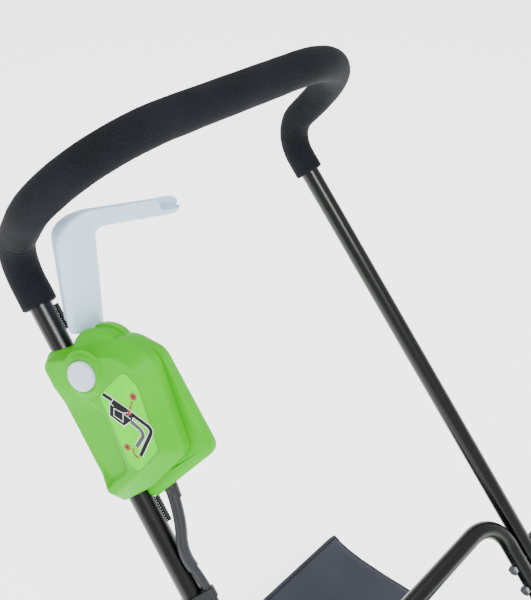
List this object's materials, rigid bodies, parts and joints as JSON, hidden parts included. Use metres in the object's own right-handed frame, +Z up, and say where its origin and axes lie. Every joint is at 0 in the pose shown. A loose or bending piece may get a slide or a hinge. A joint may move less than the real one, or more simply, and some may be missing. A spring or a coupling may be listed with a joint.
{
  "type": "electric reel mower",
  "caption": "Electric reel mower with a folding tube handle, foam grip, side switch box with lever and button, helical reel, wheels, rear roller and fabric grass catcher.",
  "frame": {"origin": "on the ground, under the middle of the machine's box", "axes": "+X operator's right, +Y forward, +Z up"},
  "size_m": [0.604, 0.873, 1.0372],
  "materials": {
    "tube_black": "gloss powder coat",
    "foam": "matt closed-cell foam",
    "box_green": "satin moulded",
    "label": "printed gloss",
    "pale_plastic": "satin moulded",
    "black_plastic": "moulded, fine grain",
    "steel": "zinc plated",
    "spring_steel": "bright",
    "blade_steel": "red paint, ground edges",
    "plate_paint": "satin paint",
    "cable": "matt sheath",
    "tyre": "moulded rubber",
    "belt": "matt",
    "fabric": "woven polyester",
    "motor": "satin"
  },
  "bodies": {
    "chassis": {"pivot_bolts": "steel", "motor_gland": "black_plastic", "right_side_plate": "plate_paint", "left_side_plate": "plate_paint", "tie_bars": "tube_black", "reel_cover": "box_green", "motor_housing": "box_green", "motor_body": "motor", "belt_cover": "box_green", "right_end_cover": "box_green", "cover_screws": "steel", "drive_belt": "belt", "reel_bearings": "steel", "knife_carrier": "plate_paint", "bed_knife": "spring_steel", "knife_screws": "steel", "knife_adjusters": "steel", "axle_bolts": "steel", "motor_cable_deck": "cable"},
    "lower_handle": {"lower_handle_tube": "tube_black", "fold_bolts": "steel", "clamp_bolts": "steel", "lower_cable_clip": "black_plastic", "motor_cable_fold": "cable"},
    "upper_handle": {"upper_handle_tube": "tube_black", "upper_handle_plugs": "black_plastic", "grip_foam": "foam", "switch_box_front": "box_green", "switch_box_rear": "box_green", "switch_box_screws": "steel", "switch_label": "label", "button_spring": "spring_steel", "micro_switch": "black_plastic", "lever_pin": "steel", "lever_spring": "spring_steel", "power_inlet": "black_plastic", "cable_gland": "black_plastic", "motor_cable_upper": "cable", "upper_cable_clips": "black_plastic"},
    "right_clamp": {"right_clamp_knob": "black_plastic"},
    "left_clamp": {"left_clamp_knob": "black_plastic"},
    "lever": {"switch_lever": "pale_plastic"},
    "button": {"start_button": "pale_plastic"},
    "reel": {"reel_shaft": "steel", "reel_spiders": "plate_paint", "reel_blades": "blade_steel", "reel_pulley": "steel"},
    "motor_rotor": {"motor_shaft": "steel", "motor_pulley": "steel"},
    "right_wheel_assembly": {"right_tyre": "tyre", "right_wheel": "black_plastic", "right_hub_cap": "black_plastic"},
    "left_wheel_assembly": {"left_tyre": "tyre", "left_wheel": "black_plastic", "left_hub_cap": "black_plastic"},
    "roller_carrier": {"roller_frame": "plate_paint", "height_bolts": "steel"},
    "roller": {"rear_roller": "black_plastic"},
    "catcher": {"catcher_bag": "fabric", "catcher_frame": "tube_black"}
  },
  "joints": [
    {"name": "handle_pivot", "type": "hinge", "parent": "chassis", "child": "lower_handle", "pos_m": [0, 0.21684, 0.18], "axis": [-1, 0, 0], "range_deg": [0, 68], "deforming": ["motor_cable_deck"]},
    {"name": "handle_fold", "type": "hinge", "parent": "lower_handle", "child": "upper_handle", "pos_m": [0, 0.08932, 0.31344], "axis": [1, 0, 0], "range_deg": [-120, 0], "deforming": ["motor_cable_fold"]},
    {"name": "right_clamp_turn", "type": "hinge", "parent": "lower_handle", "child": "right_clamp", "pos_m": [0.25849, 0.06445, 0.33946], "axis": [1, 0, 0], "continuous": true},
    {"name": "left_clamp_turn", "type": "hinge", "parent": "lower_handle", "child": "left_clamp", "pos_m": [-0.25849, 0.06445, 0.33946], "axis": [1, 0, 0], "continuous": true},
    {"name": "switch_lever_pull", "type": "hinge", "parent": "upper_handle", "child": "lever", "pos_m": [0.19598, -0.29944, 0.78032], "axis": [0.8823, 0.3164, 0.3485], "range_deg": [0, 5], "stiffness_Nm_per_rad": 2, "springref_deg": -20.05},
    {"name": "start_button_press", "type": "slide", "parent": "upper_handle", "child": "button", "axis": [-0.8823, -0.3164, -0.3485], "range_m": [0, 0.004], "stiffness_N_per_m": 800, "springref_m": -0.001},
    {"name": "reel_turn", "type": "hinge", "parent": "chassis", "child": "reel", "pos_m": [0, 0.27, 0.1], "axis": [1, 0, 0], "continuous": true},
    {"name": "motor_turn", "type": "hinge", "parent": "chassis", "child": "motor_rotor", "pos_m": [-0.22, 0.268, 0.213], "axis": [1, 0, 0], "continuous": true},
    {"name": "right_wheel_turn", "type": "hinge", "parent": "chassis", "child": "right_wheel_assembly", "pos_m": [0.281, 0.3315, 0.105], "axis": [1, 0, 0], "continuous": true},
    {"name": "left_wheel_turn", "type": "hinge", "parent": "chassis", "child": "left_wheel_assembly", "pos_m": [-0.281, 0.3315, 0.105], "axis": [1, 0, 0], "continuous": true},
    {"name": "cutting_height", "type": "slide", "parent": "chassis", "child": "roller_carrier", "axis": [0, 0, -1], "range_m": [0, 0.025]},
    {"name": "roller_turn", "type": "hinge", "parent": "roller_carrier", "child": "roller", "pos_m": [0, 0.135, 0.025], "axis": [1, 0, 0], "continuous": true},
    {"name": "catcher_lift", "type": "hinge", "parent": "chassis", "child": "catcher", "pos_m": [0, 0.188, 0.172], "axis": [-1, 0, 0], "range_deg": [0, 35]}
  ],
  "couplings": [
    {"joint": "motor_turn", "follows": "reel_turn", "ratio": 2.5}
  ]
}
